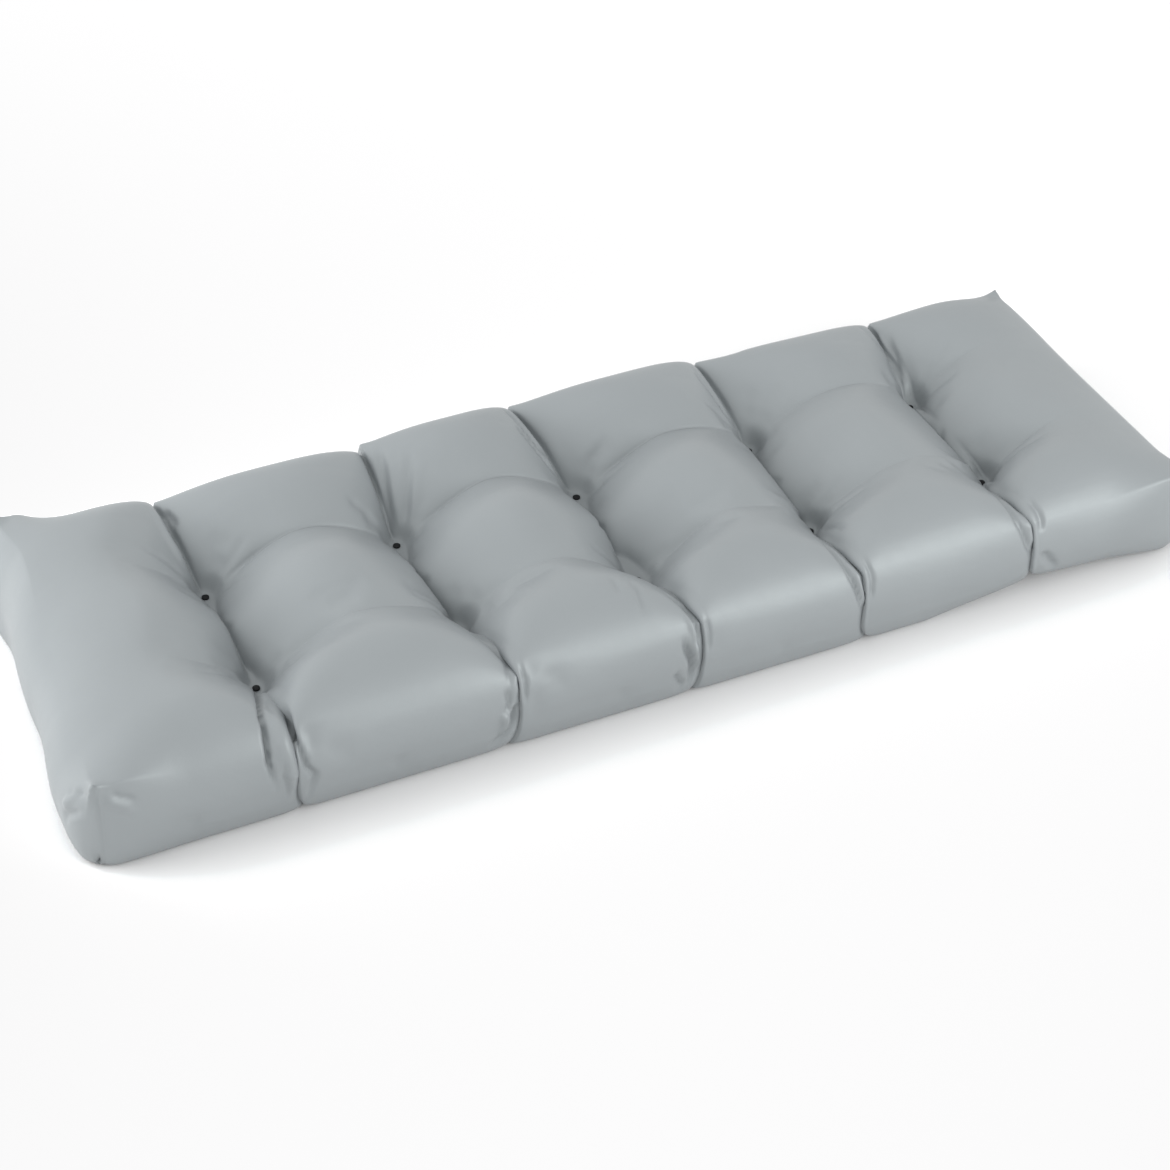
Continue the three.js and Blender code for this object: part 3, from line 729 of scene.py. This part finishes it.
def dress_corners(points, grid, steps):
    """How far the walls lie in at the four corners, and how far the corners peak."""
    inward = np.zeros(len(points))
    peak = np.zeros(len(points))
    ends = (0, CELLS * steps[0])
    sides = (0, ROWS * steps[1])
    level = grid[:, 2]
    is_wall = np.isin(grid[:, 0], ends) | np.isin(grid[:, 1], sides)
    is_between = is_wall & (level > 0) & (level < steps[2])
    for a in ends:
        for b in sides:
            edge = points[(grid[:, 0] == a) & (grid[:, 1] == b)]
            away = np.linalg.norm(points[:, :2] - edge[level, :2], axis=1)
            inward += np.where(is_between, corner_seam(away, level), 0)
            inward += foot_rounding(away, points[:, 2])
            reach = np.linalg.norm(points - edge[-1], axis=1) / CORNER_PEAK["reach"]
            peak += CORNER_PEAK["rise"] * np.clip(1 - reach, 0, None) ** CORNER_PEAK["sharpness"]
    return inward, peak


def mesh_object(name, points, faces):
    mesh = bpy.data.meshes.new(name)
    mesh.from_pydata([tuple(point) for point in points.tolist()], [], faces)
    mesh.update()
    mesh.shade_smooth()
    obj = bpy.data.objects.new(name, mesh)
    bpy.context.scene.collection.objects.link(obj)
    return obj


def point_normals(obj):
    normals = np.zeros(len(obj.data.vertices) * 3)
    obj.data.vertices.foreach_get("normal", normals)
    return normals.reshape(-1, 3)


def move_points(obj, points):
    obj.data.vertices.foreach_set("co", points.ravel())
    obj.data.update()


# The trial run of the filled cover, as cloth under pressure, on a coarser skin of the same shape.
# It moves the cover by no more than the limit, and not at all low on the walls or at the ends.
TRIAL_STEPS = (20, 12, 8)
TRIAL_FRAMES = 20
TRIAL_PRESSURE = 4.0
TRIAL_LOOSENESS = 0.02
TRIAL_LIMIT = 4.0
TRIAL_HELD_BELOW = 3.0
TRIAL_FREE_ABOVE = 80.0
TRIAL_FREE_FROM_END = 140.0
TRIAL_NEIGHBOURS = 12
TRIAL_BLUR = 10.0


def add_trial_cloth(trial, held):
    """A light, springy cloth with pressure in it and no weight, held still at a vertex group."""
    cloth = trial.modifiers.new("cloth", "CLOTH")
    cloth.settings.quality = 5
    cloth.settings.mass = 0.3
    cloth.settings.tension_stiffness = 15
    cloth.settings.compression_stiffness = 15
    cloth.settings.shear_stiffness = 5
    cloth.settings.bending_stiffness = 0.5
    cloth.settings.use_pressure = True
    cloth.settings.uniform_pressure_force = TRIAL_PRESSURE
    cloth.settings.shrink_min = -TRIAL_LOOSENESS
    cloth.settings.vertex_group_mass = held.name
    cloth.settings.effector_weights.gravity = 0
    cloth.point_cache.frame_start = 1
    cloth.point_cache.frame_end = TRIAL_FRAMES


def run_trial(points, faces):
    """Blows the loose cover up against its tufts and foot; where each point ends up, in mm."""
    trial = mesh_object("cover_trial", points * MM, faces)
    held = trial.vertex_groups.new(name="held")
    near_tuft = tuft_distance(points[:, 0], points[:, 1]) < TUFT_BLEND_RADIUS
    still = near_tuft | (points[:, 2] < TRIAL_HELD_BELOW)
    held.add(np.flatnonzero(still).tolist(), 1.0, "REPLACE")
    add_trial_cloth(trial, held)
    for number in range(1, TRIAL_FRAMES + 1):
        bpy.context.scene.frame_set(number)
    blown = trial.evaluated_get(bpy.context.evaluated_depsgraph_get())
    ends = np.zeros(len(points) * 3)
    blown.data.vertices.foreach_get("co", ends)
    bpy.context.scene.frame_set(1)
    bpy.data.objects.remove(trial)
    return ends.reshape(-1, 3) / MM


def trial_moves(points, faces):
    """How far the trial moves each point of the cover, within its limits."""
    moved = run_trial(points, faces) - points
    length = np.linalg.norm(moved, axis=1, keepdims=True)
    freedom = smooth(points[:, 2:] / TRIAL_FREE_ABOVE)
    from_end = np.minimum(points[:, :1] - END_LINES["left"], END_LINES["right"] - points[:, :1])
    freedom = freedom * smooth(from_end / TRIAL_FREE_FROM_END)
    return moved * freedom * np.minimum(1, TRIAL_LIMIT / np.maximum(length, TRIAL_LIMIT))


def settle(points):
    """Moves the points of the fine cover as the trial cover moved beside each of them."""
    grid, faces = lattice(*TRIAL_STEPS, (1, 1))
    coarse = cushion_points(grid, TRIAL_STEPS)[0]
    moved = trial_moves(coarse, faces)
    tree = KDTree(len(coarse))
    for number, point in enumerate(coarse):
        tree.insert(point, number)
    tree.balance()
    found = [tree.find_n(point, TRIAL_NEIGHBOURS) for point in points]
    number = np.array([[near[1] for near in row] for row in found])
    distance = np.array([[near[2] for near in row] for row in found])
    weight = np.exp(-((distance / TRIAL_BLUR) ** 2))
    weight /= weight.sum(axis=1, keepdims=True)
    return points + (moved[number] * weight[..., None]).sum(axis=1)


def node_material(name):
    material = bpy.data.materials.new(name)
    material.use_nodes = True
    tree = material.node_tree
    return material, tree, tree.nodes["Principled BSDF"]


def add_node(tree, kind, **values):
    """A new node with values set on its inputs, named as the node shows them with _ for spaces."""
    node = tree.nodes.new(kind)
    for name, value in values.items():
        node.inputs[name.replace("_", " ")].default_value = value
    return node


CLOTH_DARK = (0.222, 0.239, 0.248, 1)
CLOTH_LIGHT = (0.246, 0.264, 0.274, 1)
CLOTH_ROUGHNESS = 0.42
CLOTH_SPECULAR = 0.9
CLOTH_SPECULAR_TINT = (0.92, 1.0, 1.0, 1)
SHEEN_SPREAD = 0.03
# Scale and detail of the noise in the cloth's colour, in its sheen and in its slubs.
TINT_NOISE = (9.0, 3.0)
SHEEN_NOISE = (60.0, 2.0)
SLUB_NOISE = (45.0, 3.0)
SLUB_BUMP = {"Strength": 0.25, "Distance": 0.0012}
THREAD_BUMP = {"Strength": 0.25, "Distance": 0.00006}
THREADS_PER_METRE = 1400
# A wave texture at scale 1 has a band about every 0.314 of a unit.
WAVE_SCALE = 0.314


def thread_wave(tree, cover, direction):
    """One set of threads of the weave."""
    wave = add_node(tree, "ShaderNodeTexWave", Scale=THREADS_PER_METRE * WAVE_SCALE)
    wave.bands_direction = direction
    tree.links.new(cover.outputs["UV"], wave.inputs["Vector"])
    return wave.outputs["Fac"]


def blotches(tree, cover, scale, detail):
    """Soft noise over the cover laid out flat."""
    noise = add_node(tree, "ShaderNodeTexNoise", Scale=scale, Detail=detail)
    tree.links.new(cover.outputs["UV"], noise.inputs["Vector"])
    return noise.outputs["Fac"]


def add_tint(tree, cover, shader):
    """A colour that drifts between two close greys."""
    tint = tree.nodes.new("ShaderNodeMix")
    tint.data_type = "RGBA"
    tint.inputs["A"].default_value = CLOTH_DARK
    tint.inputs["B"].default_value = CLOTH_LIGHT
    tree.links.new(blotches(tree, cover, *TINT_NOISE), tint.inputs["Factor"])
    tree.links.new(tint.outputs["Result"], shader.inputs["Base Color"])


def add_sheen(tree, cover, shader):
    """A satin sheen, slightly uneven."""
    gloss = add_node(tree, "ShaderNodeMapRange")
    gloss.inputs["To Min"].default_value = CLOTH_ROUGHNESS - SHEEN_SPREAD
    gloss.inputs["To Max"].default_value = CLOTH_ROUGHNESS + SHEEN_SPREAD
    tree.links.new(blotches(tree, cover, *SHEEN_NOISE), gloss.inputs["Value"])
    tree.links.new(gloss.outputs["Result"], shader.inputs["Roughness"])


def add_weave(tree, cover, shader):
    """A fine plain weave over faint slubs."""
    weave = tree.nodes.new("ShaderNodeMath")
    weave.operation = "ADD"
    tree.links.new(thread_wave(tree, cover, "X"), weave.inputs[0])
    tree.links.new(thread_wave(tree, cover, "Y"), weave.inputs[1])
    slubs = add_node(tree, "ShaderNodeBump", **SLUB_BUMP)
    tree.links.new(blotches(tree, cover, *SLUB_NOISE), slubs.inputs["Height"])
    threads = add_node(tree, "ShaderNodeBump", **THREAD_BUMP)
    tree.links.new(weave.outputs["Value"], threads.inputs["Height"])
    tree.links.new(slubs.outputs["Normal"], threads.inputs["Normal"])
    tree.links.new(threads.outputs["Normal"], shader.inputs["Normal"])


def cloth_material():
    """Fine satin polyester."""
    material, tree, shader = node_material("satin_cloth")
    shader.inputs["Specular IOR Level"].default_value = CLOTH_SPECULAR
    shader.inputs["Specular Tint"].default_value = CLOTH_SPECULAR_TINT
    cover = tree.nodes.new("ShaderNodeUVMap")
    cover.uv_map = "cover"
    add_tint(tree, cover, shader)
    add_sheen(tree, cover, shader)
    add_weave(tree, cover, shader)
    return material


BUTTON_COLOUR = (0.006, 0.007, 0.008, 1)
BUTTON_ROUGHNESS = 0.5
BUTTON_SPECULAR = 0.2
BUTTON_GRAIN_SCALE = 900.0
BUTTON_BUMP = {"Strength": 0.15, "Distance": 0.0003}


def button_material():
    """Dark, half-matt buttons with a faintly uneven face."""
    material, tree, shader = node_material("button_black")
    shader.inputs["Base Color"].default_value = BUTTON_COLOUR
    shader.inputs["Roughness"].default_value = BUTTON_ROUGHNESS
    shader.inputs["Specular IOR Level"].default_value = BUTTON_SPECULAR
    place = tree.nodes.new("ShaderNodeTexCoord")
    grain = add_node(tree, "ShaderNodeTexNoise", Scale=BUTTON_GRAIN_SCALE)
    bump = add_node(tree, "ShaderNodeBump", **BUTTON_BUMP)
    tree.links.new(place.outputs["Object"], grain.inputs["Vector"])
    tree.links.new(grain.outputs["Fac"], bump.inputs["Height"])
    tree.links.new(bump.outputs["Normal"], shader.inputs["Normal"])
    return material


def lay_out_cover(cushion, flat, points):
    """The UV map of the cover: metres on the cover laid out flat, or plan underneath."""
    places = np.where(np.isfinite(flat), flat, points[:, :2]) * MM
    corners = np.zeros(len(cushion.data.loops), int)
    cushion.data.loops.foreach_get("vertex_index", corners)
    layer = cushion.data.uv_layers.new(name="cover")
    layer.data.foreach_set("uv", places[corners].ravel())


def build_cushion():
    """The cover: the cushion's surface, settled by the trial, then creased and sewn up."""
    grid, faces = lattice(*COVER_STEPS, FOOT_STEPS)
    points, flat = cushion_points(grid, COVER_STEPS)
    settled = settle(points)
    cushion = mesh_object("cushion_cloth", settled * MM, faces)
    inward, peak = dress_corners(settled, grid, COVER_STEPS)
    folded = settled - point_normals(cushion) * (fold_depths(flat) + inward)[:, None]
    folded[:, 2] += peak
    folded[:, 2] = np.maximum(folded[:, 2], 0)
    move_points(cushion, folded * MM)
    lay_out_cover(cushion, flat, points)
    cushion.data.materials.append(cloth_material())
    return cushion


def dress_buttons():
    """The buttons are the part's own, in their material."""
    material = button_material()
    for name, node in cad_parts.items():
        if name.startswith("tuft_button"):
            node.data.materials.clear()
            node.data.materials.append(material)


# The focal length is in picture widths.
CAMERA_AZIMUTH = math.radians(-26.977)
CAMERA_ELEVATION = math.radians(39.346)
CAMERA_ROLL = math.radians(2.118)
CAMERA_DISTANCE = 3.7103
CAMERA_TARGET = Vector((-0.01081, -0.0002, 0))
CAMERA_SENSOR = 36.0
CAMERA_FOCAL = 2791.7 / 1170


def place_camera():
    """The camera that took the likeness: its place, turn and lens."""
    back = Vector(
        (
            math.sin(CAMERA_AZIMUTH) * math.cos(CAMERA_ELEVATION),
            -math.cos(CAMERA_AZIMUTH) * math.cos(CAMERA_ELEVATION),
            math.sin(CAMERA_ELEVATION),
        )
    )
    right = (-back).cross(Vector((0, 0, 1))).normalized()
    up = right.cross(-back)
    turned_right = right * math.cos(CAMERA_ROLL) + up * math.sin(CAMERA_ROLL)
    turned_up = up * math.cos(CAMERA_ROLL) - right * math.sin(CAMERA_ROLL)
    camera_data = bpy.data.cameras.new("camera")
    camera_data.sensor_fit = "HORIZONTAL"
    camera_data.sensor_width = CAMERA_SENSOR
    camera_data.lens = CAMERA_FOCAL * CAMERA_SENSOR
    camera = bpy.data.objects.new("camera", camera_data)
    turn = Matrix((turned_right, turned_up, back)).transposed()
    place = CAMERA_TARGET + back * CAMERA_DISTANCE
    camera.matrix_world = Matrix.Translation(place) @ turn.to_4x4()
    bpy.context.scene.collection.objects.link(camera)
    bpy.context.scene.camera = camera


LEFT_SOFTBOX = {
    "location": (-2.5, 0.9, 1.2),
    "target": (-0.4, 0, 0.1),
    "size": (2.2, 1.6),
    "power": 58,
    "is_glossy": False,
}
FRONT_SOFTBOX = {
    "location": (1.8, -2.6, 1.55),
    "target": (0.1, 0, 0.1),
    "size": (2.4, 1.5),
    "power": 53,
    "is_glossy": True,
}
ROOM_STRENGTH = 1.0


def area_light(name, location, target, size, power, is_glossy):
    data = bpy.data.lights.new(name, "AREA")
    data.shape = "RECTANGLE"
    data.size, data.size_y = size
    data.energy = power
    light = bpy.data.objects.new(name, data)
    light.location = location
    light.visible_glossy = is_glossy
    aim = Vector(target) - Vector(location)
    light.rotation_euler = aim.to_track_quat("-Z", "Y").to_euler()
    bpy.context.scene.collection.objects.link(light)


def light_scene():
    """A white room and two softboxes, of which only the front one shows in the sheen."""
    world = bpy.data.worlds.new("studio")
    world.use_nodes = True
    room = world.node_tree.nodes["Background"]
    room.inputs["Color"].default_value = (1, 1, 1, 1)
    room.inputs["Strength"].default_value = ROOM_STRENGTH
    bpy.context.scene.world = world
    area_light("left_softbox", **LEFT_SOFTBOX)
    area_light("front_softbox", **FRONT_SOFTBOX)


# Points of the brightness curve, on the linear scale on which white is 1.
BACKDROP_CURVE = ((0.6, 0.6), (0.716, 0.722), (0.81, 0.855), (0.885, 1.0))
# Which of the view's curves acts on all three colours together.
ALL_COLOURS = 3


def whiten_backdrop():
    """Pale tones above the shadow go up to white; everything darker stays as it is."""
    view = bpy.context.scene.view_settings
    view.use_curve_mapping = True
    curve = view.curve_mapping.curves[ALL_COLOURS]
    for before, after in BACKDROP_CURVE:
        curve.points.new(before, after)
    view.curve_mapping.update()


FLOOR_HALF_WIDTH = 6.0
FLOOR_COLOUR = (0.757, 0.757, 0.757, 1)
FLOOR_ROUGHNESS = 0.9


def build_floor():
    """A wide pale floor that catches the shadow."""
    half = FLOOR_HALF_WIDTH
    points = np.array([(-half, -half, 0), (half, -half, 0), (half, half, 0), (-half, half, 0)])
    floor = mesh_object("floor", points, [(0, 1, 2, 3)])
    material, _, shader = node_material("pale_floor")
    shader.inputs["Base Color"].default_value = FLOOR_COLOUR
    shader.inputs["Roughness"].default_value = FLOOR_ROUGHNESS
    floor.data.materials.append(material)


place_camera()
cushion = build_cushion()
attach(cushion, "root")
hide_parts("cushion")
dress_buttons()
build_floor()
light_scene()
whiten_backdrop()
bpy.context.scene.view_settings.view_transform = "Standard"
